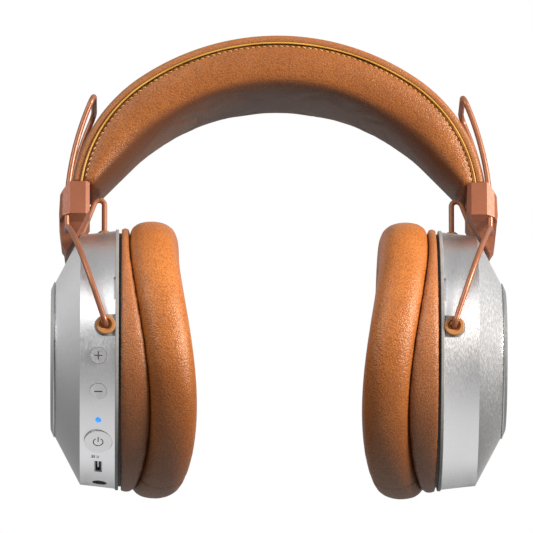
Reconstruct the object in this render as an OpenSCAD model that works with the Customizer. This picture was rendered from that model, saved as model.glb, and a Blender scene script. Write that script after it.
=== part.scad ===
// Over ear headphones: padded headband, wire yokes on curved sliders, tilting closed cups.
// Frame: the origin is midway between the cups on their tilt axis.
// +X is the wearer's right, +Y is forward, +Z is up. Millimetres.
// Every side part is drawn for the right side and mirrored for the left.

/* [Cup housing] */
// Mid-plane to the outer face of the cup's cap plate
cap_x = 90.6; // [86:0.1:96]
// Thickness of the cap plate
cap_t = 1.6; // [1:0.1:3]
// Radius of the cap plate at its base
cap_r = 31; // [25:0.5:36]
// Radius where the cone meets the rim
shoulder_r = 49.8; // [45:0.1:54]
// Mid-plane to that shoulder
shoulder_x = 78.8; // [74:0.1:84]
// Radius of the rim at its open edge
rim_r = 51.4; // [46:0.1:56]
// Mid-plane to the open edge of the rim
rim_x = 64.9; // [60:0.1:70]
// Wall of the housing
wall = 1.8; // [1.2:0.1:3]
// Thickness of the ring between housing and pad
ring_t = 1.3; // [0.8:0.1:3]

/* [Yoke and slider] */
// Diameter of the yoke wire
wire_d = 2.3; // [2:0.1:4]
// Mid-plane to the tilt axis of the cup
pivot_x = 68.7; // [64:0.1:74]
// Half distance between the yoke legs
leg_y = 54; // [52:0.1:60]
// Radius of the yoke's shoulders
leg_arc = 37; // [30:0.5:45]
// Height where the shoulders start
leg_straight = 14; // [5:0.5:25]
// Half distance between the slider rods
rod_y = 14.35; // [10:0.05:18]
// Mid-plane to the foot of the rods
rod_x = 84.5; // [80:0.1:90]
// Radius of the arc that the rods slide along
rod_arc = 125; // [100:1:300]
// Height of that arc's centre
arc_z = 55.5; // [50:0.5:60]
// Angle of that arc at the rods' top
rod_sweep = 22.1; // [15:0.1:30]
// Radial clearance of a rod in its channel
rod_gap = 0.07; // [0.01:0.01:0.1]

/* [Slider block] */
// Mid-plane to the inner face of the block
block_in = 75.4; // [72:0.1:80]
// Mid-plane to the outer face of the block
block_out = 87.6; // [84:0.1:92]
// Height of the top of the block
block_top = 69.5; // [60:0.5:80]
// Half width of the block
block_hw = 16.5; // [14:0.1:22]
// Mid-plane to the joint between the block's halves
block_split = 84.1; // [80:0.1:86]

/* [Headband] */
// Radius of the crown arc
crown_r = 99.8; // [80:0.1:120]
// Height of the crown arc's centre
crown_z = 29.65; // [10:0.05:50]
// Angle from the top where the side arcs take over
crown_a = 33.7; // [20:0.1:60]
// Radius of the side arcs
side_r = 61.3; // [40:0.1:90]
// Radius of the inner surface
inner_r = 79.4; // [60:0.1:100]
// Height of the inner arc's centre
inner_z = 29.1; // [10:0.1:50]
// Angle from the top where the inner surface runs straight out
flare_a = 48; // [30:1:70]
// Half width at the crown
band_hw = 21.5; // [15:0.1:30]
// Radius of the plan curve that narrows the band
plan_r = 520; // [200:5:1000]
// Thickness of the outer cover
cover_t = 3.3; // [1:0.1:4]
// Thickness of the pad's skin
skin_t = 1.4; // [0.6:0.1:3]
// Depth of the steel spring under the cover's surface
spring_in = 4; // [3:0.1:8]
// Thickness of the steel spring
spring_t = 0.8; // [0.4:0.1:1.5]

/* [Ear pad] */
// Outer radius of the pad's base
base_r = 52.4; // [48:0.1:58]
// Mid-plane to the base's outer edge
base_x = 63.1; // [60:0.1:66]
// Height of the base where it is thinnest
base_t = 2.8; // [2:0.1:8]
// Extra height of the base where it is thickest
base_rise = 6.6; // [0:0.1:12]
// Direction of the thickest place, from the front over the top
rise_a = 219; // [0:1:359]
// Outer radius of the pad
pad_r = 55.4; // [50:0.1:60]
// Radius of the pad's opening
pad_in = 29.5; // [24:0.5:36]
// Thickness of the pad
pad_t = 19; // [12:0.5:25]

/* [Controls] */
// Mid-plane to the line of controls
ctrl_x = 71.5; // [68:0.1:75]
// Angles of plus, minus, light, power, charging socket and audio socket below the rear pivot
ctrl_a = [13.6, 29.7, 43.5, 55, 72.3, 90];
// Diameter of the plus and minus buttons
key_d = 6.5; // [5:0.1:9]
// Diameter of the power button
power_d = 11; // [8:0.1:13]
// Depth of the signs cut into the buttons
mark = 0.25; // [0.1:0.05:0.5]
// Bore radius of the audio socket
jack_r = 1.78; // [1.75:0.01:1.85]
// Bore length of the audio socket
jack_l = 14; // [12:0.5:16]
// Diameter of the audio cable
cable_d = 2.2; // [1.6:0.1:3]

/* [Output] */
// Sub-part to draw

/* [Hidden] */
$fn = 64;
eps = 0.01;
wr = wire_d / 2;
cr = cable_d / 2;
face_x = cap_x - cap_t;
ring_x = rim_x - ring_t;
leg_lean = asin((rod_x - pivot_x) / (leg_straight + leg_arc));
elbow_r = leg_y - 51.5;
foot_r = leg_y - leg_arc - rod_y;
foot_z = (leg_straight + leg_arc) * cos(leg_lean);
rod_z = foot_z + foot_r;
rod_low = asin((rod_z - arc_z) / rod_arc);
rod_cx = rod_x - rod_arc * cos(rod_low);
loop_r = 4;
cable_a = 20.8;
cable_arc = 2.1;
cable_l = 12.2;
cable_top_x = 71.6 + cable_arc * cos(cable_a);
cable_top_z = 64.2 + cable_arc * sin(cable_a);
cable_low_x = cable_top_x + cable_l * sin(cable_a) + cable_arc * cos(cable_a);
cable_z = cable_top_z - cable_l * cos(cable_a) + cable_arc * sin(cable_a) - cable_arc;
bush_in = 47.6;
bush_out = 52.45;
side_cx = (crown_r - side_r) * sin(crown_a);
side_cz = crown_z + (crown_r - side_r) * cos(crown_a);
flare_x = inner_r * sin(flare_a);
flare_z = inner_z + inner_r * cos(flare_a);
seam_x = base_x - base_t;
seat_x = 61.2;
rise_lean = atan(base_rise / 2 / base_r);
screw_at = [50, 150, 250];

// ---- placing ----

// Turns a part drawn round +Z into the right cup: its +Z becomes +X, its +X becomes +Y
module cup() rotate([90, 0, 90]) children();

// A place on the cup's rim at angle a and distance x, with +Z pointing outward
module on_rim(a, r, x) cup() rotate([0, 0, a]) translate([r, 0, x]) rotate([0, 90, 0]) children();

// Draws in the plane across the body: X becomes Y, Y becomes Z
module across() rotate([90, 0, 90]) children();

module left() mirror([1, 0, 0]) children();

module both_ways() {
    children();
    mirror([0, 1, 0]) children();
}

// A length of wire of radius r along +Z
module rod(r, h) cylinder(r = r, h = h);

// A bend of wire in the XY plane, from +X on through angle a
module bend(r, big, a) rotate_extrude(angle = a) translate([big, 0]) circle(r = r);

// ---- headband ----

// Everything inside the outer surface, d below it
module crown(d) {
    intersection() {
        translate([0, crown_z]) circle(r = crown_r - d);
        polygon([[0, crown_z], [-150 * tan(crown_a), crown_z + 150], [150 * tan(crown_a), crown_z + 150]]);
    }
    for (s = [-1, 1]) translate([s * side_cx, side_cz]) circle(r = side_r - d);
    translate([-side_cx, side_cz - 60]) square([2 * side_cx, 60]);
}

// The space for the head, grown by d
module head_space(d) {
    translate([0, inner_z]) circle(r = inner_r + d);
    flare(d);
    mirror([1, 0]) flare(d);
    translate([-flare_x, 0]) square([2 * flare_x, flare_z]);
}

module flare(d) {
    across_x = d * sin(flare_a);
    across_z = d * cos(flare_a);
    polygon([[flare_x + across_x, flare_z + across_z],
             [flare_x + across_x + 40 * cos(flare_a), flare_z + across_z - 40 * sin(flare_a)],
             [0, flare_z - 40 * sin(flare_a)], [0, flare_z]]);
}

// A slab of side outline, 2 * w wide and cut off where the blocks take over
module arch(w) {
    intersection() {
        rotate([90, 0, 0]) linear_extrude(height = 2 * w, center = true) children();
        difference() {
            translate([-100, -40, 68.2]) cube([200, 80, 80]);
            for (s = [-1, 1]) translate([s * (block_in + 10) - 10.3, -40, 60])
                cube([20.6, 80, block_top - 60 + 0.1]);
        }
    }
}

// Plan outline of the band, grown by d
module plan(d) {
    half = [for (x = [-90 : 30 : 90]) [x, band_hw + d - x * x / plan_r / 2]];
    translate([0, 0, 50]) linear_extrude(height = 100)
        polygon(concat([for (p = half) [p[0], -p[1]]], [for (p = half) [-p[0], p[1]]]));
}

module spring_strip(d, w, low) {
    intersection() {
        rotate([90, 0, 0]) linear_extrude(height = 2 * w, center = true) difference() {
            crown(spring_in - d);
            crown(spring_in + spring_t + d);
        }
        translate([-100, -20, low]) cube([200, 40, 100]);
    }
}

module band_spring() {
    color("silver") spring_strip(0, 7, 60);
}

module band_cover() {
    color("sienna") intersection() {
        arch(30) difference() {
            crown(0);
            crown(cover_t);
        }
        plan(0);
    }
}

module band_pad() {
    color("peru") intersection() {
        arch(30) difference() {
            crown(cover_t + 0.1);
            head_space(0);
        }
        difference() {
            plan(0);
            intersection() {
                plan(-skin_t);
                rotate([90, 0, 0]) linear_extrude(height = 60, center = true) difference() {
                    crown(0);
                    head_space(skin_t);
                }
            }
        }
    }
}

module band_foam() {
    color("khaki") difference() {
        intersection() {
            arch(30) difference() {
                crown(cover_t + 0.1);
                head_space(skin_t + 0.1);
            }
            plan(-skin_t - 0.1);
        }
        spring_strip(0.1, 7.1, 50);
    }
}

module band_piping() {
    color("goldenrod") intersection() {
        arch(30) difference() {
            crown(cover_t - 0.45);
            crown(cover_t + 0.45);
        }
        difference() {
            plan(0.6);
            plan(0);
        }
    }
}

// ---- slider block ----

module block_body() {
    difference() {
        intersection() {
            rotate([90, 0, 0]) linear_extrude(height = 40, center = true)
                polygon([[block_in, block_top], [rod_x - 0.8, block_top], [block_out - 0.4, block_top - 5],
                         [block_out, 57], [86.5, 46.4], [84.7, 43], [block_in, 57.8]]);
            translate([0, 0, 40]) linear_extrude(height = 40)
                polygon([[block_in, -block_hw + 1.5], [block_in + 1.6, -block_hw], [83.2, -block_hw],
                         [86.2, -block_hw + 1.1], [block_out, -block_hw + 3.6],
                         [block_out, block_hw - 3.6], [86.2, block_hw - 1.1], [83.2, block_hw],
                         [block_in + 1.6, block_hw], [block_in, block_hw - 1.5]]);
            across() linear_extrude(height = 100)
                polygon([[-block_hw, 80], [-block_hw, 56.2], [-12.6, 53.6], [-9, 49], [-5, 42.6],
                         [5, 42.6], [9, 49], [12.6, 53.6], [block_hw, 56.2], [block_hw, 80]]);
        }
        both_ways() {
            translate([rod_cx, rod_y, arc_z]) rotate([90, 0, 0]) rotate([0, 0, rod_low - 1])
                bend(wr + rod_gap, rod_arc, 12);
            translate([block_in - 1, 10.2, 63.5]) rotate([0, 90, 0]) cylinder(r = 2.1, h = 2.4);
            translate([block_in, 10.2, 63.5]) rotate([0, 90, 0]) cylinder(r = 1.05, h = 10.8);
        }
        spring_strip(0.1, 7.1, 59.8);
        rotate([90, 0, 0]) linear_extrude(height = 2.9, center = true)
            polygon([[72, 66.5], [74.4, 66.5], [79, 54.7], [80.5, 54.7], [80.5, 48], [72, 48]]);
        translate([80, 0, cable_z]) rotate([0, 90, 0]) cylinder(r = cr + 0.05, h = 2.1);
    }
}

module block_inner() {
    color("chocolate") intersection() {
        block_body();
        translate([50, -30, 40]) cube([block_split - 50, 60, 40]);
    }
}

module block_outer() {
    color("chocolate") intersection() {
        block_body();
        translate([block_split, -30, 40]) cube([20, 60, 40]);
    }
}

module block_screws() {
    color("dimgray") both_ways() translate([block_in + 0.2, 10.2, 63.5]) rotate([0, 90, 0]) difference() {
        union() {
            cylinder(r = 1.95, h = 1.2);
            cylinder(r = 1, h = 10.4);
        }
        translate([0, 0, -eps]) cylinder(r = 0.8, h = 0.7);
    }
}

// ---- yoke ----

// Closes the joint between two bends that lie in different planes
module knuckle() sphere(r = wr + 0.03);

module yoke() {
    color("sienna") {
        both_ways() {
            translate([pivot_x, 0, 0]) rotate([0, leg_lean, 0]) {
                translate([0, bush_in - 0.2, 0]) rotate([-90, 0, 0]) rod(wr, 51.5 - bush_in + 0.2);
                translate([0, bush_in - 1.2, 0]) rotate([-90, 0, 0]) rod(1.8, 1);
                translate([0, leg_y, elbow_r]) rod(wr, leg_straight - elbow_r);
                across() {
                    translate([51.5, elbow_r]) rotate([0, 0, -90]) bend(wr, elbow_r, 90);
                    translate([leg_y - leg_arc, leg_straight]) bend(wr, leg_arc, 90);
                }
            }
            translate([rod_x, leg_y - leg_arc, foot_z]) knuckle();
            translate([rod_x, leg_y - leg_arc, rod_z]) across() rotate([0, 0, 180])
                bend(wr, foot_r, 90);
            at_rod_end() translate([0, rod_y, 0]) knuckle();
            translate([rod_x, rod_y, rod_z]) knuckle();
            translate([rod_cx, rod_y, arc_z]) rotate([90, 0, 0]) rotate([0, 0, rod_low])
                bend(wr, rod_arc, rod_sweep - rod_low);
            at_rod_end() across() translate([rod_y - loop_r, 0]) bend(wr, loop_r, 90);
        }
        at_rod_end() translate([0, loop_r - rod_y, loop_r]) rotate([-90, 0, 0])
            rod(wr, 2 * (rod_y - loop_r));
    }
}

module at_rod_end() translate([rod_cx, 0, arc_z]) rotate([0, -rod_sweep, 0])
    translate([rod_arc, 0, 0]) children();

module bushes() {
    color("peru") for (a = [0, 180]) on_rim(a, 0, pivot_x) rotate_extrude()
        polygon([[wr + 0.07, bush_in], [2.4, bush_in], [2.4, 51.35], [3.95, 51.35], [3.95, 52.1],
                 [3.6, bush_out], [2.6, bush_out], [2.2, 51.9], [wr + 0.07, 51]]);
}

// ---- cup ----

// The tongue that carries a pivot, grown by d
module tongue(d) {
    for (a = [0, 180]) {
        on_rim(a, 44, pivot_x) cylinder(r = 4.3 + d, h = 10);
        cup() rotate([0, 0, a]) translate([44, -4.3 - d, rim_x - 2])
            cube([10, 8.6 + 2 * d, pivot_x - rim_x + 2]);
    }
}

module shell() {
    cup() rotate_extrude()
        polygon([[0, face_x], [cap_r - 0.5, face_x], [shoulder_r, shoulder_x], [rim_r, rim_x],
                 [rim_r - wall, rim_x], [shoulder_r - wall, shoulder_x - 0.8],
                 [cap_r - 1.4, face_x - wall], [0, face_x - wall]]);
}

module housing() {
    difference() {
        union() {
            shell();
            for (a = screw_at) cup() rotate([0, 0, a]) translate([42, 0, ring_x])
                cylinder(r = 2.5, h = 80.5 - ring_x);
        }
        tongue(0.12);
        for (a = screw_at) cup() rotate([0, 0, a]) translate([42, 0, ring_x - 1]) cylinder(r = 1.3, h = 10.5);
        on_rim(90, 46, 69.5) cylinder(r = 2.25, h = 8);
        for (a = [12, 168]) cup() rotate([0, 0, a]) rotate_extrude(angle = a < 90 ? 12 : -12)
            translate([rim_r - 0.9, rim_x - 0.5]) square([2, 1.2]);
    }
}

module left_housing() {
    color("lightgray") left() difference() {
        union() {
            housing();
            for (a = [30, 150, 270]) cup() rotate([0, 0, a]) translate([24, 0, 81.2])
                cylinder(r = 2, h = face_x - wall - 81.2 + 0.2);
        }
        for (i = [0, 1]) on_rim(180 + ctrl_a[i], 44, ctrl_x) cylinder(r = key_d / 2 + 0.1, h = 10);
        on_rim(180 + ctrl_a[3], 44, ctrl_x) cylinder(r = power_d / 2 + 0.1, h = 10);
        on_rim(180 + ctrl_a[2], 44, ctrl_x) cylinder(r = 1.2, h = 10);
        on_rim(180 + ctrl_a[4], 44, ctrl_x) translate([-1.55, -3.9, 0]) cube([3.1, 7.8, 10]);
        on_rim(180 + ctrl_a[5], 44, ctrl_x - 0.5) cylinder(r = 2.9, h = 10);
    }
}

module right_housing() {
    color("lightgray") housing();
}

module cap() {
    color("gainsboro") cup() rotate_extrude()
        polygon([[0, face_x], [cap_r, face_x], [cap_r, face_x + 0.3], [cap_r - 3, cap_x],
                 [cap_r - 9, cap_x], [cap_r - 9.4, cap_x - 0.4], [cap_r - 10.2, cap_x - 0.4],
                 [cap_r - 10.6, cap_x], [0, cap_x]]);
}

module ring() {
    color("slategray") difference() {
        union() {
            cup() rotate_extrude() polygon([[45, ring_x], [51.8, ring_x], [52, ring_x + 0.2],
                                            [52, rim_x - 0.2], [51.8, rim_x], [45, rim_x]]);
            intersection() {
                tongue(0);
                cup() rotate_extrude() translate([rim_r - wall, rim_x - eps]) square([1.6, 10]);
            }
        }
        for (a = [0, 180]) {
            on_rim(a, 44, pivot_x) cylinder(r = 2.6, h = 10);
            on_rim(a, 51.3, pivot_x) cylinder(r = 4.05, h = 2);
        }
    }
}

module baffle() {
    color("dimgray") difference() {
        cup() rotate_extrude() translate([20.3, seat_x]) square([30.2, ring_x - seat_x]);
        for (a = screw_at) cup() rotate([0, 0, a]) translate([42, 0, seat_x - 1]) {
            cylinder(r = 1.4, h = 6);
            cylinder(r = 2.5, h = 2.2);
        }
        for (a = [0 : 60 : 300]) cup() rotate([0, 0, a + 15]) translate([30, 0, seat_x - 1])
            cylinder(r = 1.5, h = 6);
    }
}

module screws() {
    color("gray") for (a = screw_at) cup() rotate([0, 0, a]) translate([42, 0, seat_x]) difference() {
        union() {
            cylinder(r = 2.4, h = 1.1);
            cylinder(r = 1.25, h = 10);
        }
        translate([0, 0, -eps]) cylinder(r = 0.9, h = 0.7);
    }
}

module driver() {
    color("darkslategray") cup() rotate_extrude()
        polygon([[19.2, seat_x + 0.2], [20.1, seat_x + 0.2], [20.1, ring_x], [22.5, ring_x],
                 [22.5, ring_x + 1.2], [20.1, ring_x + 1.2], [20.1, 68], [14, 73], [9, 73],
                 [9, 71.8], [13.4, 71.8], [19.2, 67.2]]);
}

module magnet() {
    color("gray") cup() rotate_extrude()
        polygon([[2, 73], [13, 73], [13, 76.4], [12.4, 77], [2, 77]]);
}

module diaphragm() {
    color("tan") cup() rotate_extrude()
        polygon([[0, 62.6], [5, 62.8], [9.6, 63.9], [14, 62.6], [19, 62.9], [19, 63.1],
                 [14, 62.8], [9.6, 64.1], [9.6, 68.5], [9.3, 68.5], [9.3, 64.0], [5, 63.0], [0, 62.8]]);
}

// ---- ear pad ----

module pad_base() {
    color("saddlebrown") cup() {
        difference() {
            rotate_extrude() polygon([[34, seam_x - base_rise], [base_r, seam_x - base_rise], [base_r, base_x],
                                      [50.7, base_x], [50.7, seat_x], [34, seat_x]]);
            seam() translate([-70, -70, -30]) cube([140, 140, 30]);
        }
    }
}

// Puts a part on the leaning seam between base and pad, with -Z towards the head
module seam() rotate([0, 0, rise_a]) translate([0, 0, seam_x - base_rise / 2])
    rotate([0, rise_lean, 0]) children();

// Section of the pad: x is the radius, y is the distance from the seam
module pad_section() polygon([
    [pad_in + 4, 0], [pad_r - 6, 0], [pad_r - 1.5, 4], [pad_r, 8], [pad_r, 12], [pad_r - 2.5, pad_t - 2.5],
    [pad_r - 7, pad_t], [pad_in + 6, pad_t], [pad_in + 1.5, pad_t - 2], [pad_in, pad_t - 6], [pad_in, 5]]);

module ear_pad() {
    color("peru") cup() seam() mirror([0, 0, 1]) rotate_extrude() pad_section();
}

module screen() {
    color("black") cup() translate([0, 0, seat_x - 0.5]) cylinder(r = 33.8, h = 0.5);
}

// ---- cable ----

module cable() {
    color("sienna") rotate([90, 0, 0]) {
        translate([69.5, 47]) rotate([-90, 0, 0]) rod(cr, 17.2);
        translate([71.6, 64.2]) rotate([0, 0, cable_a]) bend(cr, cable_arc, 180 - cable_a);
        translate([cable_top_x, cable_top_z]) rotate([90, 0, 0]) rotate([0, cable_a, 0]) rod(cr, cable_l);
        translate([cable_low_x, cable_z + cable_arc]) rotate([0, 0, 180 + cable_a])
            bend(cr, cable_arc, 90 - cable_a);
        translate([cable_low_x, cable_z]) rotate([0, 90, 0]) rod(cr, 2.1);
    }
}

module grommet() {
    color("saddlebrown") on_rim(90, 0, 69.5) rotate_extrude()
        polygon([[cr + 0.05, 48], [2.2, 48], [2.2, 51.35], [2.9, 51.35], [2.9, 52.4], [2, 53.2],
                 [cr + 0.05, 53.2]]);
}

// ---- electronics ----

module button(a, d) {
    difference() {
        union() {
            on_rim(180 + a, 0, ctrl_x) translate([0, 0, 47.6]) cylinder(r = d / 2, h = 3.5);
            on_rim(180 + a, 0, ctrl_x) translate([0, 0, 47.4]) cylinder(r = d / 2 + 0.5, h = 0.5);
        }
        on_rim(180 + a, 51.1 - mark, ctrl_x) children();
    }
}

module plus_button() {
    color("silver") left() button(ctrl_a[0], key_d) {
        translate([-1.6, -0.25, 0]) cube([3.2, 0.5, 1]);
        translate([-0.25, -1.6, 0]) cube([0.5, 3.2, 1]);
    }
}

module minus_button() {
    color("silver") left() button(ctrl_a[1], key_d) translate([-1.6, -0.25, 0]) cube([3.2, 0.5, 1]);
}

module power_button() {
    color("silver") left() button(ctrl_a[3], power_d) rotate([0, 0, -90]) {
        rotate([0, 0, 30]) rotate_extrude(angle = 300) translate([1.7, 0]) square([0.4, 1]);
        translate([0, -0.2, 0]) cube([2.6, 0.4, 1]);
    }
}

module status_light() {
    color("dodgerblue") left() on_rim(180 + ctrl_a[2], 46.4, ctrl_x) cylinder(r = 1.15, h = 4.3);
}

module key_switches() {
    color("darkgreen") left() {
        cup() rotate([0, 0, 182]) rotate_extrude(angle = 63) translate([43.8, 67]) square([0.8, 9]);
        for (i = [0, 1, 3]) on_rim(180 + ctrl_a[i], 44.2, ctrl_x) {
            translate([-1.75, -1.75, 0]) cube([3.5, 3.5, 1.8]);
            cylinder(r = 0.9, h = 2.5);
        }
    }
}

module circuit_board() {
    color("darkgreen") left() cup() {
        translate([0, 0, 80]) cylinder(r = 36, h = 1.2);
        translate([-18, -6, 78.6]) cube([12, 12, 1.41]);
        translate([6, 4, 78.9]) cube([7, 7, 1.11]);
        translate([8, -14, 78.4]) cube([10, 6, 1.61]);
    }
}

module audio_socket() {
    color("black") left() on_rim(180 + ctrl_a[5], 49.4 - jack_l, ctrl_x - 0.5) difference() {
        cylinder(r = 2.8, h = jack_l);
        translate([0, 0, -eps]) cylinder(r = jack_r, h = jack_l + 1);
    }
}

module charge_socket() {
    color("silver") left() on_rim(180 + ctrl_a[4], 44.6, ctrl_x) {
        difference() {
            translate([-1.45, -3.8, 0]) cube([2.9, 7.6, 5.6]);
            translate([-1.15, -3.5, 0.8]) cube([2.3, 7, 6]);
        }
        translate([-0.3, -2.6, 0.5]) cube([0.6, 5.2, 4.2]);
    }
}

module battery() {
    color("steelblue") cup() translate([-21, -16, 82.7]) cube([42, 32, face_x - wall - 82.7]);
}

// ---- sides ----

module left_block_inner() { left() block_inner(); }
module left_block_outer() { left() block_outer(); }
module left_block_screws() { left() block_screws(); }
module left_yoke() { left() yoke(); }
module left_bushes() { left() bushes(); }
module left_cap() { left() cap(); }
module left_ring() { left() ring(); }
module left_baffle() { left() baffle(); }
module left_screws() { left() screws(); }
module left_driver() { left() driver(); }
module left_magnet() { left() magnet(); }
module left_diaphragm() { left() diaphragm(); }
module left_pad_base() { left() pad_base(); }
module left_ear_pad() { left() ear_pad(); }
module left_screen() { left() screen(); }
module left_cable() { left() cable(); }
module left_grommet() { left() grommet(); }
module right_block_inner() { block_inner(); }
module right_block_outer() { block_outer(); }
module right_block_screws() { block_screws(); }
module right_yoke() { yoke(); }
module right_bushes() { bushes(); }
module right_cap() { cap(); }
module right_ring() { ring(); }
module right_baffle() { baffle(); }
module right_screws() { screws(); }
module right_driver() { driver(); }
module right_magnet() { magnet(); }
module right_diaphragm() { diaphragm(); }
module right_pad_base() { pad_base(); }
module right_ear_pad() { ear_pad(); }
module right_screen() { screen(); }
module right_cable() { cable(); }
module right_grommet() { grommet(); }

band_spring();
band_foam();
band_cover();
band_pad();
band_piping();
left_block_inner();
left_block_outer();
left_block_screws();
left_yoke();
left_bushes();
left_housing();
left_cap();
left_ring();
left_baffle();
left_screws();
left_driver();
left_magnet();
left_diaphragm();
left_pad_base();
left_ear_pad();
left_screen();
left_cable();
left_grommet();
right_block_inner();
right_block_outer();
right_block_screws();
right_yoke();
right_bushes();
right_housing();
right_cap();
right_ring();
right_baffle();
right_screws();
right_driver();
right_magnet();
right_diaphragm();
right_pad_base();
right_ear_pad();
right_screen();
right_cable();
right_grommet();
plus_button();
minus_button();
power_button();
status_light();
key_switches();
circuit_board();
audio_socket();
charge_socket();
battery();
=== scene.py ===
from math import acos, atan2, cos, hypot, pi, radians, sin

import bmesh
import bpy
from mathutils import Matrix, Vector
from mathutils.bvhtree import BVHTree


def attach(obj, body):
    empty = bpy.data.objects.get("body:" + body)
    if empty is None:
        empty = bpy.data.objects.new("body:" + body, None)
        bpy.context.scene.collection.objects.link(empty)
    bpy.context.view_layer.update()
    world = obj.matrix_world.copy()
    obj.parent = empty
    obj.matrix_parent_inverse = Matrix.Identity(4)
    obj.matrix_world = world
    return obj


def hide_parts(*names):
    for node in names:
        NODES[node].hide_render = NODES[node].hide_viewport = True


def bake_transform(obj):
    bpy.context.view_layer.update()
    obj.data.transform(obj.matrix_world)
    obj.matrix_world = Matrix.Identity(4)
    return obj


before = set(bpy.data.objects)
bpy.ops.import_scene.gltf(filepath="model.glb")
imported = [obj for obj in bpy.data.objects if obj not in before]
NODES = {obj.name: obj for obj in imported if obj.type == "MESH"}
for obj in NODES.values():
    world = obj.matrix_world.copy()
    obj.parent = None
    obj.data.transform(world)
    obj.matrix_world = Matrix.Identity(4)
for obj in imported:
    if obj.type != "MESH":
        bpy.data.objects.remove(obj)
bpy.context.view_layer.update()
MM = 0.001

# ---- sizes repeated from the CAD source, in millimetres ----
# Band: the crown's radius, centre height and half angle, and the radius of the tighter arcs at its sides
CROWN_R, CROWN_Z, CROWN_A, SIDE_R = 99.8, 29.65, radians(33.7), 61.3
# Hollow for the head: its radius, its centre height, and the angle where it runs on straight
INNER_R, INNER_Z, FLARE_A = 79.4, 29.1, radians(48)
# Half the band's width at the crown, the radius that narrows it, and the thickness of its cover strip
BAND_HW, PLAN_R, COVER_T = 21.5, 520, 3.3
# Slider block: where its inner side starts, and its top
BLOCK_IN, BLOCK_TOP = 75.4, 69.5
# Pad base: its radius, its face on the cup, its least thickness, how much it rises and which way
BASE_R, BASE_X, BASE_T, BASE_RISE, RISE_A = 52.4, 63.1, 3.8, 8.4, radians(219)
# The acoustic screen: the face it lies on, and its radius
SEAT_X, SCREEN_R = 61.2, 33.8
# Controls on the left cup's rim: degrees below the rear pivot, the place along X and the rim's radius
CTRL_A = {"plus": 13.6, "minus": 29.7, "power": 55.0}
CTRL_X, CTRL_R = 71.5, 50.65
# The radius where the signs lie, at the bottom of the buttons' engraving
KEY_FLOOR_R = 50.86
# Cable: its radius, the radius of its bends, and how far its leg leans
CABLE_R, CABLE_BEND, CABLE_LEAN = 1.1, 2.1, radians(20.8)
SIDES = (("left", -1), ("right", 1))
SIDE_CX = (CROWN_R - SIDE_R) * sin(CROWN_A)
SIDE_CZ = CROWN_Z + (CROWN_R - SIDE_R) * cos(CROWN_A)


# ---- mesh helpers ----

def mesh_piece(name, verts, faces, mats, smooth=True):
    """A new mesh object from points in millimetres."""
    me = bpy.data.meshes.new(name)
    me.from_pydata([tuple(c * MM for c in v) for v in verts], [], faces)
    me.update()
    for m in mats:
        me.materials.append(m)
    me.polygons.foreach_set("use_smooth", [smooth] * len(me.polygons))
    ob = bpy.data.objects.new(name, me)
    bpy.context.scene.collection.objects.link(ob)
    return ob


def loft(name, rings, mats, around=False, caps=True):
    """Joins rings of points into a skin. around closes the last ring onto the first."""
    n, m = len(rings), len(rings[0])
    verts = [p for r in rings for p in r]
    faces = []
    for i in range(n if around else n - 1):
        a, b = i * m, (i + 1) % n * m
        faces += [(a + j, b + j, b + (j + 1) % m, a + (j + 1) % m) for j in range(m)]
    if caps and not around:
        faces += [tuple(range(m))[::-1], tuple((n - 1) * m + j for j in range(m))]
    ob = mesh_piece(name, verts, faces, mats)
    fix_normals(ob)
    return ob


def fix_normals(ob):
    bm = bmesh.new()
    bm.from_mesh(ob.data)
    bmesh.ops.recalc_face_normals(bm, faces=bm.faces)
    bm.to_mesh(ob.data)
    bm.free()


def apply_modifiers(ob):
    dg = bpy.context.evaluated_depsgraph_get()
    me = bpy.data.meshes.new_from_object(ob.evaluated_get(dg))
    old = ob.data
    ob.modifiers.clear()
    ob.data = me
    bpy.data.meshes.remove(old)
    ob.data.polygons.foreach_set("use_smooth", [True] * len(ob.data.polygons))


def subdivide(ob, levels):
    m = ob.modifiers.new("Subdivide", "SUBSURF")
    m.levels = m.render_levels = levels
    apply_modifiers(ob)


def tube(name, path, radius, mats, sides=12, caps=True, closed=False):
    """A round tube along a path of points in millimetres."""
    pts = [Vector(p) for p in path]
    n = len(pts)
    rings, up = [], None
    for i, p in enumerate(pts):
        a = pts[i - 1] if i or closed else pts[0]
        b = pts[(i + 1) % n] if i < n - 1 or closed else pts[-1]
        t = (b - a).normalized()
        if up is None:
            up = t.orthogonal().normalized()
        up = (up - t * up.dot(t)).normalized()
        side = t.cross(up)
        r = radius(i / (n - 1)) if callable(radius) else radius
        rings.append([p + (up * cos(2 * pi * j / sides) + side * sin(2 * pi * j / sides)) * r
                      for j in range(sides)])
    return loft(name, rings, mats, around=closed, caps=caps)


def paint(ob, name, value):
    """Stores value(point in mm, normal) at every vertex, for a material to read."""
    at = ob.data.attributes.get(name) or ob.data.attributes.new(name, "FLOAT", "POINT")
    at.data.foreach_set("value", [float(value(v.co / MM, v.normal)) for v in ob.data.vertices])


def smoothstep(a, b, x):
    t = min(1, max(0, (x - a) / (b - a)))
    return t * t * (3 - 2 * t)


# ---- material helpers ----

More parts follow.
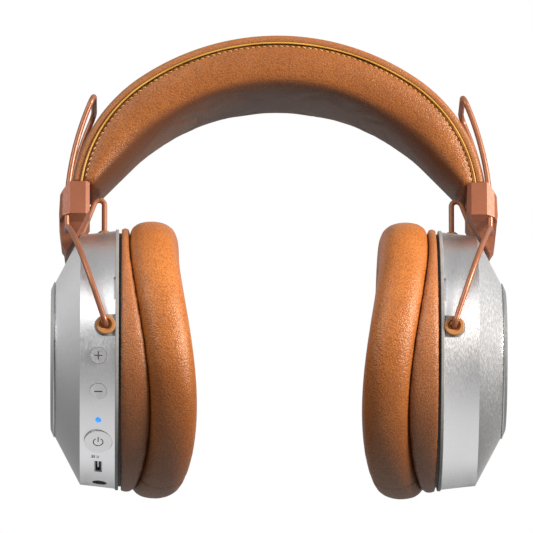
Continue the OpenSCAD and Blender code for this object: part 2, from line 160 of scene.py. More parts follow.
class Mat:
    """A node material with a few short calls."""

    def __init__(self, name, **sockets):
        self.m = bpy.data.materials.new(name)
        self.m.use_nodes = True
        self.t = self.m.node_tree
        self.bsdf = self.t.nodes["Principled BSDF"]
        self.coord = self.add("ShaderNodeTexCoord").outputs["Object"]
        for k, v in sockets.items():
            self.bsdf.inputs[k.replace("_", " ")].default_value = v

    def add(self, kind, **props):
        n = self.t.nodes.new(kind)
        for k, v in props.items():
            setattr(n, k, v)
        return n

    def link(self, a, b):
        self.t.links.new(a, b)

    def scaled(self, scale):
        n = self.add("ShaderNodeMapping")
        n.inputs["Scale"].default_value = scale
        self.link(self.coord, n.inputs["Vector"])
        return n.outputs["Vector"]

    def sep(self, axis):
        n = self.add("ShaderNodeSeparateXYZ")
        self.link(self.coord, n.inputs[0])
        return n.outputs[axis]

    def noise(self, scale, detail=3.0, rough=0.55, vector=None, distortion=0.0):
        n = self.add("ShaderNodeTexNoise")
        n.inputs["Scale"].default_value = scale
        n.inputs["Detail"].default_value = detail
        n.inputs["Roughness"].default_value = rough
        n.inputs["Distortion"].default_value = distortion
        self.link(vector if vector is not None else self.coord, n.inputs["Vector"])
        return n.outputs["Fac"]

    def voronoi(self, scale, vector=None, feature="F1"):
        n = self.add("ShaderNodeTexVoronoi", feature=feature)
        n.inputs["Scale"].default_value = scale
        self.link(vector if vector is not None else self.coord, n.inputs["Vector"])
        return n.outputs["Distance"]

    def ramp(self, fac, stops):
        n = self.add("ShaderNodeValToRGB")
        el = n.color_ramp.elements
        while len(el) < len(stops):
            el.new(0.5)
        for e, (pos, col) in zip(el, stops):
            e.position = pos
            e.color = col if len(col) == 4 else (*col, 1)
        self.link(fac, n.inputs["Fac"])
        return n.outputs["Color"]

    def span(self, fac, low, high, to_low, to_high):
        n = self.add("ShaderNodeMapRange")
        for k, v in zip(("From Min", "From Max", "To Min", "To Max"), (low, high, to_low, to_high)):
            n.inputs[k].default_value = v
        self.link(fac, n.inputs["Value"])
        return n.outputs["Result"]

    def mix(self, fac, a, b):
        n = self.add("ShaderNodeMix", data_type="RGBA")
        for v, s in ((fac, n.inputs["Factor"]), (a, n.inputs[6]), (b, n.inputs[7])):
            if hasattr(v, "links"):
                self.link(v, s)
            else:
                s.default_value = v if not isinstance(v, tuple) or len(v) == 4 else (*v, 1)
        return n.outputs[2]

    def math(self, op, a, b=0.0):
        n = self.add("ShaderNodeMath", operation=op)
        for v, s in ((a, n.inputs[0]), (b, n.inputs[1])):
            if hasattr(v, "links"):
                self.link(v, s)
            else:
                s.default_value = v
        return n.outputs[0]

    def attribute(self, name):
        return self.add("ShaderNodeAttribute", attribute_name=name).outputs["Fac"]

    def colour(self, c):
        self.link(c, self.bsdf.inputs["Base Color"])

    def rough(self, r):
        self.link(r, self.bsdf.inputs["Roughness"])

    def bump(self, height, strength, distance):
        n = self.add("ShaderNodeBump")
        n.inputs["Strength"].default_value = strength
        n.inputs["Distance"].default_value = distance
        self.link(height, n.inputs["Height"])
        self.link(n.outputs["Normal"], self.bsdf.inputs["Normal"])


def leather(name, light, dark, under, grain=1.0):
    """Leather: pebbled grain, creases, a slow change of colour, and painted shade, a darker colour mixed
    in where a vertex attribute asks for it.
    """
    m = Mat(name, Specular_IOR_Level=0.5, Sheen_Weight=0.05, Sheen_Roughness=0.4)
    m.bsdf.inputs["Specular Tint"].default_value = (1.0, 0.88, 0.76, 1)
    m.bsdf.inputs["Sheen Tint"].default_value = (1.0, 0.78, 0.55, 1)
    wobble = m.noise(260, 2.0)
    vec = m.add("ShaderNodeVectorMath", operation="MULTIPLY_ADD")
    m.link(m.coord, vec.inputs[0])
    vec.inputs[1].default_value = (1, 1, 1)
    off = m.add("ShaderNodeVectorMath", operation="SCALE")
    m.link(wobble, off.inputs[0])
    off.inputs["Scale"].default_value = 0.0012
    m.link(off.outputs[0], vec.inputs[2])
    cells = m.voronoi(1400 / grain, vec.outputs[0])
    fine = m.voronoi(3000 / grain, vec.outputs[0])
    crease = m.noise(700 / grain, 4.0, 0.62, m.scaled((1.0, 1.0, 1.35)), 0.6)
    slow = m.noise(34, 3.0, 0.6)
    base = m.ramp(slow, [(0.3, dark), (0.72, light)])
    pores = m.span(cells, 0.3, 0.75, 0.0, 0.55)
    base = m.mix(pores, base, (dark[0] * 0.5, dark[1] * 0.42, dark[2] * 0.4))
    # Painted shade: mixes the dark under colour in where the surface was painted as shaded
    m.colour(m.mix(m.attribute("painted_shade"), base, under))
    m.rough(m.span(m.math("ADD", cells, m.noise(90, 2.0)), 0.5, 1.4, 0.3, 0.45))
    height = m.math("ADD", m.math("MULTIPLY", cells, -0.7), m.math("MULTIPLY", fine, -0.25))
    height = m.math("ADD", height, m.math("MULTIPLY", crease, 0.5))
    m.bump(height, 0.75, 0.00027 * grain)
    return m.m


def painted(name, light, dark, rough=0.4, metallic=0.0):
    """Satin paint with a faint orange peel and a slow change of colour."""
    m = Mat(name, Metallic=metallic)
    m.colour(m.ramp(m.noise(60, 3.0), [(0.35, dark), (0.7, light)]))
    m.rough(m.span(m.noise(900, 2.0), 0.3, 0.7, rough - 0.05, rough + 0.07))
    m.bump(m.noise(1500, 2.0), 0.08, 0.00008)
    return m.m


def brushed(name, light, dark, rough=0.3, stretch=(1, 1, 1), scale=900):
    """Brushed metal: fine streaks that are long across the stretch."""
    m = Mat(name, Metallic=1.0, Anisotropic=0.4)
    streak = m.noise(scale, 4.0, 0.65, m.scaled(stretch))
    fine = m.noise(scale * 3, 2.0, 0.6, m.scaled(stretch))
    cloud = m.span(m.noise(25, 2.0), 0.35, 0.65, 0.0, 0.5)
    m.colour(m.mix(cloud, m.ramp(streak, [(0.3, dark), (0.7, light)]), light))
    m.rough(m.span(streak, 0.3, 0.7, rough - 0.05, rough + 0.1))
    m.bump(m.math("ADD", streak, m.math("MULTIPLY", fine, 0.5)), 0.12, 0.00005)
    return m.m


def plastic(name, col, rough=0.5):
    """Moulded plastic with a fine texture."""
    m = Mat(name)
    low = tuple(c * 0.82 for c in col)
    m.colour(m.ramp(m.noise(120, 3.0), [(0.35, low), (0.7, col)]))
    m.rough(m.span(m.noise(1800, 2.0), 0.3, 0.7, rough - 0.06, rough + 0.08))
    m.bump(m.noise(2600, 2.0), 0.15, 0.00006)
    return m.m


# The third colour of each leather is painted shade, for its undersides and lower parts
TAN, TAN_DARK, SHADE_BROWN = (0.56, 0.185, 0.036), (0.40, 0.115, 0.018), (0.075, 0.026, 0.012)
PAD_LEATHER = leather("pad_leather", TAN, TAN_DARK, SHADE_BROWN)
BASE_LEATHER = leather("base_leather", (0.52, 0.19, 0.066), (0.38, 0.125, 0.036), SHADE_BROWN, 0.9)
BAND_LEATHER = leather("band_leather", (0.38, 0.125, 0.026), (0.27, 0.08, 0.014), (0.11, 0.04, 0.018), 0.9)
COVER_LEATHER = leather("cover_leather", (0.40, 0.15, 0.045), (0.31, 0.105, 0.028), SHADE_BROWN, 0.7)
PIPING = painted("piping_leather", (0.62, 0.36, 0.07), (0.45, 0.22, 0.03), 0.38)
THREAD = painted("thread", (0.72, 0.5, 0.22), (0.5, 0.3, 0.1), 0.7)
# Painted shade: the dark colour of the beads that stand for the stitches' needle holes
HOLE_SHADE = plastic("stitch_hole_shade", (0.05, 0.018, 0.008), 0.8)
WIRE = painted("wire_paint", (0.33, 0.125, 0.06), (0.27, 0.095, 0.045), 0.34, 0.35)
BLOCK = painted("block_paint", (0.30, 0.10, 0.048), (0.25, 0.08, 0.036), 0.4, 0.2)
ALU = brushed("brushed_aluminium", (0.80, 0.80, 0.81), (0.70, 0.70, 0.71), 0.34, (3.5, 1, 1), 700)
CAP_ALU = brushed("cap_aluminium", (0.62, 0.61, 0.60), (0.5, 0.49, 0.48), 0.28, (1, 1, 1), 500)
KEY_ALU = brushed("button_aluminium", (0.72, 0.72, 0.73), (0.64, 0.64, 0.65), 0.36, (1, 3, 3), 900)
STEEL = brushed("steel", (0.5, 0.5, 0.52), (0.4, 0.4, 0.42), 0.3, (1, 1, 1), 1500)
RING = plastic("ring_plastic", (0.3, 0.29, 0.28), 0.45)
BUSH = plastic("bush_plastic", (0.42, 0.18, 0.055), 0.45)
BLACK = plastic("black_plastic", (0.018, 0.018, 0.019), 0.5)
DARK = plastic("dark_mark", (0.05, 0.05, 0.052), 0.6)
GREEN = plastic("board_green", (0.02, 0.12, 0.045), 0.35)
FILM = plastic("diaphragm_film", (0.5, 0.42, 0.28), 0.25)
WRAP = plastic("battery_wrap", (0.14, 0.2, 0.3), 0.4)
JACKET = painted("cable_jacket", (0.34, 0.14, 0.065), (0.26, 0.1, 0.045), 0.5)


def lit_lens():
    m = Mat("blue_lens", Roughness=0.25)
    col = m.ramp(m.noise(700, 1.0), [(0.3, (0.01, 0.13, 0.85)), (0.7, (0.03, 0.25, 1.0))])
    m.colour(col)
    m.link(col, m.bsdf.inputs["Emission Color"])
    m.bsdf.inputs["Emission Strength"].default_value = 1.3
    return m.m


def cloth():
    m = Mat("acoustic_cloth", Sheen_Weight=0.3)
    w = m.math("MULTIPLY", m.math("SINE", m.math("MULTIPLY", m.sep("Y"), 5200)),
               m.math("SINE", m.math("MULTIPLY", m.sep("Z"), 5200)))
    m.colour(m.ramp(m.span(w, -1, 1, 0, 1), [(0.2, (0.012, 0.012, 0.013)), (0.8, (0.05, 0.05, 0.052))]))
    m.rough(m.span(w, -1, 1, 0.75, 0.95))
    m.bump(w, 0.5, 0.00015)
    return m.m


LENS, CLOTH = lit_lens(), cloth()


def finish_node(name, mat, bevel=0.0):
    """A CAD node that stays: its material, and a small bevel in millimetres to catch the light."""
    ob = NODES[name]
    ob.data.materials.clear()
    ob.data.materials.append(mat)
    if bevel:
        m = ob.modifiers.new("Bevel", "BEVEL")
        m.width, m.segments, m.limit_method, m.angle_limit = bevel * MM, 2, "ANGLE", radians(32)
        m.harden_normals = False
        m.use_clamp_overlap = True


SIDE_LOOKS = {"housing": ALU, "cap": CAP_ALU, "ring": RING, "bushes": BUSH, "yoke": WIRE,
              "block_inner": BLOCK, "block_outer": BLOCK, "block_screws": STEEL, "baffle": BLACK,
              "screws": STEEL, "driver": BLACK, "magnet": STEEL, "diaphragm": FILM, "grommet": BUSH}
OTHER_LOOKS = {"plus_button": KEY_ALU, "minus_button": KEY_ALU, "power_button": KEY_ALU,
               "status_light": LENS, "key_switches": BLACK, "circuit_board": GREEN, "audio_socket": BLACK,
               "charge_socket": STEEL, "battery": WRAP, "band_spring": STEEL}
BEVELS = {BLOCK: 0.35, KEY_ALU: 0.12}

for side, _ in SIDES:
    for part, mat in SIDE_LOOKS.items():
        finish_node(f"{side}_{part}", mat, BEVELS.get(mat, 0))
for name, mat in OTHER_LOOKS.items():
    finish_node(name, mat, BEVELS.get(mat, 0))


# ---- headband ----

def arch_point(t, d, y=0.0):
    """A place d under the band's outer surface, where that surface leans t from level."""
    if abs(t) <= CROWN_A:
        cx, cz, r = 0, CROWN_Z, CROWN_R
    else:
        cx, cz, r = (SIDE_CX if t > 0 else -SIDE_CX), SIDE_CZ, SIDE_R
    return Vector((cx + (r - d) * sin(t), y, cz + (r - d) * cos(t)))


def in_head_space(x, z):
    """Whether a place lies inside the hollow for the head: an arc that flares into straight sides."""
    x = abs(x)
    fx, fz = INNER_R * sin(FLARE_A), INNER_Z + INNER_R * cos(FLARE_A)
    if x <= fx:
        return hypot(x, z - INNER_Z) < INNER_R
    return (x - fx) * sin(FLARE_A) + (z - fz) * cos(FLARE_A) < 0


def band_depth(t):
    """How thick the band is where it leans t, down to the hollow for the head."""
    low, high = 1.0, 60.0
    for _ in range(30):
        d = (low + high) / 2
        p = arch_point(t, d)
        low, high = (low, d) if in_head_space(p.x, p.z) else (d, high)
    return low


def half_width(x):
    return BAND_HW - x * x / PLAN_R / 2


T_END = acos((BLOCK_TOP - SIDE_CZ) / SIDE_R)


def stations(n, extra=0.0):
    return [(-1 + 2 * i / (n - 1)) * (T_END + extra) for i in range(n)]


def seat(p):
    """Keeps the band's end on top of the block, and its lining just above the cable."""
    low = BLOCK_TOP + 0.06 if abs(p.x) > BLOCK_IN - 0.3 else 67.3
    return Vector((p.x, p.y, max(p.z, low)))


def make_cover():
    """The outer strip, from edge to edge over the top of the band."""
    rings = []
    for t in stations(141):
        hw = half_width(arch_point(t, 0).x)
        half = [(0, -0.7), (hw * 0.5, -0.6), (hw * 0.8, -0.35), (hw - 1.5, -0.1), (hw - 0.45, 0.2),
                (hw + 0.05, 0.9), (hw + 0.15, 1.7), (hw + 0.1, 2.6), (hw - 0.25, 3.1), (hw - 1.0, 3.25)]
        line = half + [(0, COVER_T)] + [(-y, d) for y, d in half[:0:-1]]
        rings.append([arch_point(t, d, y) for y, d in line])
    ob = loft("headband_cover", rings, [COVER_LEATHER])
    subdivide(ob, 2)
    paint(ob, "painted_shade", lambda p, n: 0.0)
    return ob


def make_band_pad():
    """The padded lining, which fills out in the middle of the band and narrows into the blocks."""
    rings = []
    for t in stations(121, radians(2.4)):
        top = arch_point(t, 0)
        hw, deep = half_width(top.x), band_depth(t)
        k = min(1, (deep - 4) / 7)
        span = deep - 4
        half = [(0, 3.4), (hw * 0.6, 3.4), (hw - 1.2, 3.45), (hw - 0.5, 3.75), (hw - 0.15, 4.2),
                (hw + 0.1, 4.7), (hw + 0.5 * k, 5.4), (hw + 1.3 * k, 4 + span * 0.36),
                (hw + 1.25 * k, 4 + span * 0.58), (hw + 0.2 * k, 4 + span * 0.8),
                (hw - 1.7 * k, deep - 1.0 * k), (hw - 4.6, deep + 0.3 * k), (hw * 0.45, deep + 1.1 * k)]
        line = half + [(0, deep + 1.3 * k)] + [(-y, d) for y, d in half[:0:-1]]
        rings.append([seat(arch_point(t, d, y)) for y, d in line])
    ob = loft("headband_pad", rings, [BAND_LEATHER])
    subdivide(ob, 2)
    return ob


def band_shade(p, n):
    """Painted shade: dark towards the lining under the band, on faces turned in towards the head, and
    where the ends narrow into the block.
    """
    r = hypot(p.x, p.z - INNER_Z)
    hw = half_width(p.x)
    inner = smoothstep(0.42, 0.95, 1 - abs(p.y) / (hw + 1.0)) if r < INNER_R + 2.5 else 0.0
    inward = -(n.x * p.x + n.z * (p.z - INNER_Z)) / max(r, 1)
    return max(smoothstep(0.25, 0.85, inward), inner * 0.9)


def even_arch(pitch, depth, margin):
    """Angles that step evenly along the arch."""
    out, t = [], -T_END + margin
    while t < T_END - margin:
        out.append(t)
        t += pitch / ((CROWN_R if abs(t) <= CROWN_A else SIDE_R) - depth)
    return out


def make_piping(face):
    """The golden edge of the strip: face is 1 on the front of the band and -1 on the rear."""
    path = []
    for t in stations(181):
        p = arch_point(t, COVER_T + 0.15)
        p.y = face * (half_width(p.x) + 0.05)
        path.append(p)
    return tube("headband_piping_" + ("front" if face > 0 else "rear"), path, 0.36, [PIPING], 10)


def make_stitches(face, pad):
    """Short slanted threads just under the piping, each with a dark bead at its end: painted shade
    standing in for the needle hole.
    """
    tree = BVHTree.FromObject(pad, bpy.context.evaluated_depsgraph_get())
    verts, faces, mats = [], [], []

    def bead(a, b, r, mat, sides=6):
        axis = (b - a).normalized()
        u = axis.orthogonal().normalized()
        v = axis.cross(u)
        base = len(verts)
        for s, k in ((0.0, 0.35), (0.2, 1.0), (0.8, 1.0), (1.0, 0.35)):
            c = a.lerp(b, s)
            verts.extend(c + (u * cos(2 * pi * j / sides) + v * sin(2 * pi * j / sides)) * r * k
                         for j in range(sides))
        for i in range(3):
            for j in range(sides):
                faces.append((base + i * sides + j, base + i * sides + (j + 1) % sides,
                              base + (i + 1) * sides + (j + 1) % sides, base + (i + 1) * sides + j))
                mats.append(mat)
        faces.append(tuple(base + j for j in range(sides))[::-1])
        faces.append(tuple(base + 3 * sides + j for j in range(sides)))
        mats.extend([mat, mat])

    def on_pad(t, d):
        p = arch_point(t, d, face * 40)
        hit = tree.ray_cast(p * MM, Vector((0, -face, 0)))
        return (hit[0] / MM if hit[0] is not None else None), hit[1]

    for t in even_arch(2.3, 4.7, radians(1.2)):
        r = (CROWN_R if abs(t) <= CROWN_A else SIDE_R)
        a, na = on_pad(t - 0.65 / r, 4.55)
        b, nb = on_pad(t + 0.65 / r, 5.1)
        if a is None or b is None:
            continue
        bead(a + na * 0.04, b + nb * 0.04, 0.2, 0)
        # A dark bead past each thread's end: painted shade for its needle hole
        c, nc = on_pad(t + 1.15 / r, 4.85)
        if c is not None:
            bead(c - nc * 0.1, c + nc * 0.05, 0.3, 1)
    name = "headband_stitches_" + ("front" if face > 0 else "rear")
    ob = mesh_piece(name, verts, faces, [THREAD, HOLE_SHADE])
    ob.data.polygons.foreach_set("material_index", mats)
    return ob


# ---- ear pads ----

def cup_point(sign, a, r, h):
    return Vector((sign * h, r * cos(a), r * sin(a)))


def seam_x(a, r):
    """Where the seam between base and pad lies, at angle a and radius r."""
    c = max(0.0, cos(a - RISE_A))
    return BASE_X - BASE_T - BASE_RISE * c * c * r / BASE_R


def make_pad_base(side, sign):
    """The leather wedge between the cup and the pad."""
    rings = []
    for i in range(96):
        a = 2 * pi * i / 96
        s = seam_x(a, BASE_R)
        deep = BASE_X - s
        line = [(50.9, BASE_X - 0.15), (51.9, BASE_X - 0.25), (52.35, BASE_X - 0.9),
                (52.45 + 0.03 * deep, BASE_X - deep * 0.35), (52.45 + 0.04 * deep, BASE_X - deep * 0.65),
                (52.3, s + 0.75), (51.6, s + 0.25), (50.4, s + 0.15), (46, seam_x(a, 46) + 0.1),
                (40, seam_x(a, 40) + 0.1), (35.5, seam_x(a, 35.5) + 0.1), (34.3, seam_x(a, 34) + 0.8),
                (34.2, SEAT_X - 0.2), (40, SEAT_X - 0.02), (50.6, SEAT_X - 0.02)]
        rings.append([cup_point(sign, a, r, h) for r, h in line])
    ob = loft(side + "_base_cover", rings, [BASE_LEATHER], around=True)
    subdivide(ob, 2)
    return ob


# The section of an ear pad: radius, and height above its seam with the base
PAD_LINE = [(46.0, -0.35), (49.6, -0.1), (52.2, 0.5), (54.0, 2.2), (55.1, 5.0), (55.5, 8.6),
            (55.2, 12.0), (54.2, 15.0), (52.7, 17.0), (51.75, 17.75), (51.3, 17.75), (50.9, 18.35),
            (48.6, 19.2), (44.5, 19.75), (40.0, 19.5), (35.8, 18.4), (32.4, 16.2), (30.2, 12.8),
            (29.6, 9.0), (30.3, 5.0), (32.2, 1.8), (35.5, 0.0), (40.5, -0.35)]


def make_ear_pad(side, sign):
    """The cushion round the ear."""
    rings = []
    for i in range(120):
        a = 2 * pi * i / 120
        rings.append([cup_point(sign, a, r, seam_x(a, r) - k) for r, k in PAD_LINE])
    ob = loft(side + "_pad_cushion", rings, [PAD_LEATHER], around=True)
    subdivide(ob, 1)
    return ob


def cup_angle(p):
    return atan2(p.z, p.y)


def pad_seams(ob):
    """Sinks the two sewn seams that run across the pad, at its foot and at its top."""
    for v in ob.data.vertices:
        p = v.co / MM
        a, r = cup_angle(p), hypot(p.y, p.z)
        for at in (radians(-98), radians(82)):
            off = abs(((a - at + pi) % (2 * pi) - pi)) * r
            if off < 1.4:
                v.co -= v.normal * 0.35 * MM * (1 - smoothstep(0, 1.4, off))
    ob.data.update()


# Painted shade: the ear pad darkens towards the bottom
def pad_shade(p, n):
    return smoothstep(15, -52, p.z) * 0.55


# Painted shade: the pad base darkens towards the bottom
def base_shade(p, n):
    return smoothstep(20, -50, p.z) * 0.55


# Voxel in mm, pressure, and how far a point may move in mm
SWELL_BAND, SWELL_BASE, SWELL_PAD = (1.7, 3.0, 0.5), (1.2, 2.0, 0.25), (2.0, 4.0, 1.0)
LAST_FRAME = 20


def swell(ob, voxel, pressure, cap):
    """Puffs a closed skin with the cloth solver, and keeps every point within cap of its start."""
    m = ob.modifiers.new("Remesh", "REMESH")
    m.mode, m.voxel_size, m.use_smooth_shade = "VOXEL", voxel * MM, True
    apply_modifiers(ob)
    start = [v.co.copy() for v in ob.data.vertices]
    c = ob.modifiers.new("Cloth", "CLOTH")
    s = c.settings
    s.quality, s.mass = 6, 0.25
    s.tension_stiffness = s.compression_stiffness = 12
    s.shear_stiffness, s.bending_stiffness = 8, 0.6
    s.use_pressure, s.uniform_pressure_force = True, pressure
    s.effector_weights.gravity = 0
    c.collision_settings.use_collision = False
    c.collision_settings.use_self_collision = False
    c.point_cache.frame_start, c.point_cache.frame_end = 1, LAST_FRAME
    sc = bpy.context.scene
    for f in range(1, LAST_FRAME + 1):
        sc.frame_set(f)
    apply_modifiers(ob)
    for v, p in zip(ob.data.vertices, start):
        d = v.co - p
        if d.length > cap * MM:
            v.co = p + d * (cap * MM / d.length)
    ob.data.update()
    sc.frame_set(1)


def make_screen(side, sign):
    """The round cloth over the driver, which bows a little towards the ear."""
    count, steps = 72, 12
    edge, rise = SCREEN_R - 0.1, 0.9
    rings = []
    for j in range(1, steps + 1):
        r = edge * j / steps
        h = SEAT_X - 0.45 - rise * (1 - (r / edge) ** 2)
        rings.append([cup_point(sign, 2 * pi * i / count, r, h) for i in range(count)])
    verts = [cup_point(sign, 0, 0, SEAT_X - 0.45 - rise)] + [p for ring in rings for p in ring]
    faces = [(0, 1 + i, 1 + (i + 1) % count) for i in range(count)]
    for j in range(steps - 1):
        a, b = 1 + j * count, 1 + (j + 1) * count
        faces += [(a + i, b + i, b + (i + 1) % count, a + (i + 1) % count) for i in range(count)]
    screen = mesh_piece(side + "_acoustic_screen", verts, faces, [CLOTH])
    fix_normals(screen)
    return screen


cover = make_cover()
pad = make_band_pad()
swell(pad, *SWELL_BAND)
paint(pad, "painted_shade", band_shade)
for ob in (cover, pad):
    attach(ob, "headband")
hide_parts("band_cover")
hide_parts("band_pad", "band_foam")
for face in (-1, 1):
    p = make_piping(face)
    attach(p, "headband")
    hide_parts("band_piping")
    s = make_stitches(face, pad)
    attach(s, "headband")

for side, sign in SIDES:
    base = make_pad_base(side, sign)
    swell(base, *SWELL_BASE)
    paint(base, "painted_shade", base_shade)
    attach(base, side + "_cup")
    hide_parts(side + "_pad_base")

    ear = make_ear_pad(side, sign)
    swell(ear, *SWELL_PAD)
    subdivide(ear, 1)
    pad_seams(ear)
    paint(ear, "painted_shade", pad_shade)
    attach(ear, side + "_cup")
    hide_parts(side + "_ear_pad")

    screen = make_screen(side, sign)
    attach(screen, side + "_cup")
    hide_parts(side + "_screen")


# ---- cable ----

def arc(centre, a0, a1, n):
    """Points round one of the cable's bends, from angle a0 to a1."""
    angles = [a0 + (a1 - a0) * i / n for i in range(n + 1)]
    return [(centre[0] + CABLE_BEND * cos(a), centre[1] + CABLE_BEND * sin(a)) for a in angles]


def down_leg(k):
    """A place k down the leaning leg, from the end of the top bend."""
    return (TOP[0] + CABLE_BEND * cos(CABLE_LEAN) + k * sin(CABLE_LEAN),
            TOP[1] + CABLE_BEND * sin(CABLE_LEAN) - k * cos(CABLE_LEAN))


TOP, LEG_LENGTH = (71.6, 64.2), 12.2
KNEE = down_leg(LEG_LENGTH)
LOW_BEND = (KNEE[0] + CABLE_BEND * cos(CABLE_LEAN), KNEE[1] + CABLE_BEND * sin(CABLE_LEAN))
UPPER = [(82.0, LOW_BEND[1] - CABLE_BEND), (80.8, LOW_BEND[1] - CABLE_BEND)] \
    + arc(LOW_BEND, 1.5 * pi, pi + CABLE_LEAN, 7) + [down_leg(k) for k in (9.8, 7.3, 4.9, 2.4)] \
    + arc(TOP, CABLE_LEAN, pi / 2, 8)
LOWER = arc(TOP, pi / 2, pi, 8) + [(69.5, z) for z in (62, 59.5, 57, 54.5, 51, 47)]

# Each stretch of cable: its route, its two bodies, and where it leaves the first and joins the second
for side, sign in SIDES:
    for part, line, a, b, start, end in (
            ("upper", UPPER, "headband", side + "_yoke", (78.2, 53.0), (73.0, 65.5)),
            ("lower", LOWER, side + "_yoke", side + "_cup", (69.6, 64.0), (69.5, 53.2))):
        ob = tube(f"{side}_cable_{part}", [(sign * x, 0, z) for x, z in line], CABLE_R, [JACKET], 14)
        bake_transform(ob)
        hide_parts(side + "_cable")


# ---- signs on the controls ----

def rim_frame(angle_down, r, x):
    """A place on the left cup's rim, angle_down degrees below the rear pivot, and its three axes."""
    a = radians(180 + angle_down)
    out = Vector((0, cos(a), sin(a)))
    along = Vector((0, -sin(a), cos(a)))
    across = Vector((-1, 0, 0))
    return out * r + across * x, out, along, across


def sign_piece(name, shapes, angle_down, r, x, body, mat, thick=0.12):
    """Thin raised shapes, each a list of (across, along) outlines in millimetres."""
    o, out, along, across = rim_frame(angle_down, r, x)
    verts, faces = [], []
    for outline in shapes:
        base, n = len(verts), len(outline)
        verts += [o + across * p[0] + along * p[1] for p in outline]
        verts += [o + across * p[0] + along * p[1] + out * thick for p in outline]
        faces.append(tuple(range(base + n, base + 2 * n)))
        faces.append(tuple(range(base, base + n))[::-1])
        faces += [(base + i, base + (i + 1) % n, base + n + (i + 1) % n, base + n + i) for i in range(n)]
    ob = mesh_piece(name, verts, faces, [mat], smooth=False)
    fix_normals(ob)
    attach(ob, body)
    return ob


def bar(w, h, cx=0.0, cy=0.0):
    x, y = w / 2, h / 2
    return [(cx - x, cy - y), (cx + x, cy - y), (cx + x, cy + y), (cx - x, cy + y)]


def arc_band(r, w, a0, a1, n=24):
    a0, a1 = radians(a0), radians(a1)
    near, far = r - w / 2, r + w / 2
    out = []
    for i in range(n):
        b0, b1 = a0 + (a1 - a0) * i / n, a0 + (a1 - a0) * (i + 1) / n
        out.append([(q * cos(b), q * sin(b)) for q, b in ((near, b0), (far, b0), (far, b1), (near, b1))])
    return out


PLUS = [bar(3.2, 0.44), bar(0.44, 1.3, 0, 0.93), bar(0.44, 1.3, 0, -0.93)]
MINUS = [bar(3.2, 0.44)]
POWER = arc_band(1.9, 0.34, -60, 240) + [bar(0.34, 2.4, 0, -1.35)]
# Three generic marks under the power button: an arrowhead with a bar, four dots, and a bar on two feet
MARKS = [[(1.9, 0.55), (1.9, -0.55), (2.9, 0)], bar(0.3, 1.1, 1.45),
         bar(0.3, 0.3, 0.45, 0.4), bar(0.3, 0.3, 0.45, -0.4),
         bar(0.3, 0.3, -0.15, 0.4), bar(0.3, 0.3, -0.15, -0.4),
         bar(1.3, 0.3, -2.4, 0.35), bar(0.35, 0.6, -1.85, 0.0), bar(0.35, 0.6, -2.95, 0.0)]
MARKS_A = CTRL_A["power"] + 9.9
sign_piece("plus_sign", PLUS, CTRL_A["plus"], KEY_FLOOR_R, CTRL_X, "volume_up", DARK)
sign_piece("minus_sign", MINUS, CTRL_A["minus"], KEY_FLOOR_R, CTRL_X, "volume_down", DARK)
sign_piece("power_sign", POWER, CTRL_A["power"], KEY_FLOOR_R, CTRL_X, "power", DARK)
sign_piece("control_marks", MARKS, MARKS_A, CTRL_R + 0.03, CTRL_X, "left_cup", DARK, 0.06)

# ---- floor and world ----

def stage_plane(name, size, z, mat):
    me = bpy.data.meshes.new(name)
    s = size / 2
    me.from_pydata([(-s, -s, z), (s, -s, z), (s, s, z), (-s, s, z)], [], [(0, 1, 2, 3)])
    me.materials.append(mat)
    ob = bpy.data.objects.new(name, me)
    bpy.context.scene.collection.objects.link(ob)
    return ob


floor_mat = Mat("floor_paper", Roughness=0.9)
paper = floor_mat.noise(3, 2.0)
floor_mat.colour(floor_mat.ramp(paper, [(0.3, (0.82, 0.82, 0.82)), (0.7, (0.86, 0.86, 0.86))]))
floor = stage_plane("floor", 24, -1.3, floor_mat.m)
# The world's lower half lights the object from below, so the floor doesn't
floor.visible_diffuse = floor.visible_glossy = False

scene = bpy.context.scene
scene.view_settings.view_transform = "Standard"
world = scene.world or bpy.data.worlds.new("World")
scene.world = world
world.use_nodes = True
wt = world.node_tree
wt.nodes.clear()


def wnode(kind, **props):
    n = wt.nodes.new(kind)
    for k, v in props.items():
        setattr(n, k, v)
    return n


def wmath(op, a, b=0.0, c=0.0):
    n = wnode("ShaderNodeMath", operation=op)
    for k, v in enumerate((a, b, c)):
        if hasattr(v, "links"):
            wt.links.new(v, n.inputs[k])
        else:
            n.inputs[k].default_value = v
    return n.outputs[0]


def wramp(fac, stops):
    n = wnode("ShaderNodeValToRGB")
    el = n.color_ramp.elements
    while len(el) < len(stops):
        el.new(0.5)
    for e, (pos, v) in zip(el, stops):
        e.position, e.color = pos, (v, v, v, 1)
    wt.links.new(fac, n.inputs["Fac"])
    return n.outputs["Color"]


xyz = wnode("ShaderNodeSeparateXYZ")
wt.links.new(wnode("ShaderNodeTexCoord").outputs["Generated"], xyz.inputs[0])
turn = wmath("ARCTAN2", xyz.outputs["Z"], wmath("MULTIPLY", xyz.outputs["Y"], -1.0))
turn = wmath("MULTIPLY_ADD", turn, 1 / (2 * pi), 0.5)


def place(degrees):
    return degrees / 360 + 0.5


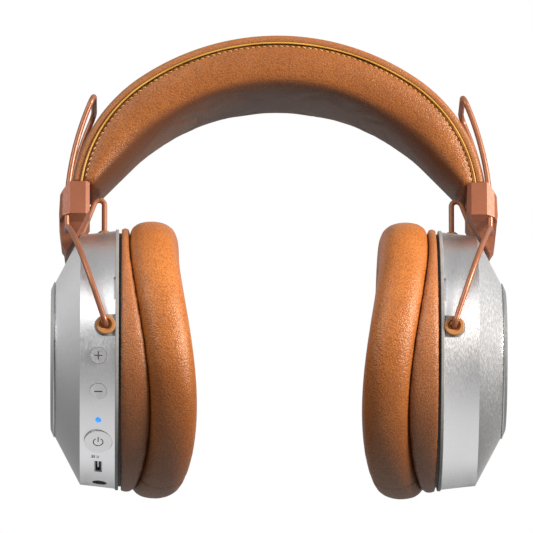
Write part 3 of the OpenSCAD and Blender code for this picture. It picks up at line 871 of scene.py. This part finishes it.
# Brightness round the studio, by degrees: 0 is level behind the camera, 90 overhead, -90 straight down
FRONT = [(-180, 0.3), (-150, 0.5), (-120, 0.95), (-65, 0.85), (-28, 0.44), (2, 0.24), (22, 0.42),
         (38, 1.1), (50, 0.95), (66, 0.42), (104, 0.44), (150, 0.5), (179, 0.3)]
front = wramp(turn, [(place(degrees), v) for degrees, v in FRONT])
height = wmath("MULTIPLY_ADD", xyz.outputs["Z"], 0.5, 0.5)
sides = wramp(height, [(0.1, 0.08), (0.35, 0.14), (0.52, 0.3), (0.68, 0.7), (0.85, 1.0)])
off = wmath("ABSOLUTE", xyz.outputs["X"])
blendx = wnode("ShaderNodeMapRange", interpolation_type="SMOOTHSTEP")
blendx.inputs["From Min"].default_value, blendx.inputs["From Max"].default_value = 0.35, 0.8
wt.links.new(off, blendx.inputs["Value"])
mixed = wnode("ShaderNodeMix", data_type="RGBA")
wt.links.new(blendx.outputs["Result"], mixed.inputs["Factor"])
wt.links.new(front, mixed.inputs[6])
wt.links.new(sides, mixed.inputs[7])
soft = wramp(height, [(0.0, 0.12), (0.35, 0.2), (0.5, 0.42), (0.68, 0.6), (1.0, 0.72)])
rays = wnode("ShaderNodeLightPath")
lit = wnode("ShaderNodeMix", data_type="RGBA")
wt.links.new(rays.outputs["Is Diffuse Ray"], lit.inputs["Factor"])
wt.links.new(mixed.outputs[2], lit.inputs[6])
wt.links.new(soft, lit.inputs[7])
seen = wnode("ShaderNodeMix", data_type="RGBA")
wt.links.new(rays.outputs["Is Camera Ray"], seen.inputs["Factor"])
wt.links.new(lit.outputs[2], seen.inputs[6])
seen.inputs[7].default_value = (1, 1, 1, 1)
back = wnode("ShaderNodeBackground")
wt.links.new(seen.outputs[2], back.inputs["Color"])
wt.links.new(back.outputs[0], wnode("ShaderNodeOutputWorld").inputs[0])


def area(name, loc, target, size, power, colour=(1, 1, 1)):
    li = bpy.data.lights.new(name, "AREA")
    li.shape, li.size, li.energy, li.color = "DISK", size, power, colour
    ob = bpy.data.objects.new(name, li)
    ob.location = loc
    ob.rotation_euler = (Vector(target) - Vector(loc)).to_track_quat("-Z", "Y").to_euler()
    scene.collection.objects.link(ob)
    return ob


# ---- lights and camera ----

area("key", (-1.2, -1.3, 0.85), (0, 0, 0.04), 1.0, 15)
area("rim", (1.2, -0.75, 0.35), (-0.05, 0, 0), 0.5, 40, (1.0, 0.93, 0.85))

AIM = Vector((-4.6, 0, 39)) * MM
DISTANCE, RISE, TURN = 4000 * MM, radians(-16.1), radians(-0.8)
IMAGE_WIDTH, DOTS_PER_MM, SENSOR = 533, 2.5, 36
cam_data = bpy.data.cameras.new("camera")
cam = bpy.data.objects.new("camera", cam_data)
scene.collection.objects.link(cam)
cam.location = AIM + DISTANCE * Vector((sin(TURN) * cos(RISE), -cos(TURN) * cos(RISE), sin(RISE)))
cam.rotation_euler = (AIM - cam.location).to_track_quat("-Z", "Y").to_euler()
cam_data.sensor_width = SENSOR
cam_data.lens = SENSOR / (IMAGE_WIDTH / DOTS_PER_MM * MM / DISTANCE)
cam_data.clip_start, cam_data.clip_end = 0.05, 60
scene.camera = cam
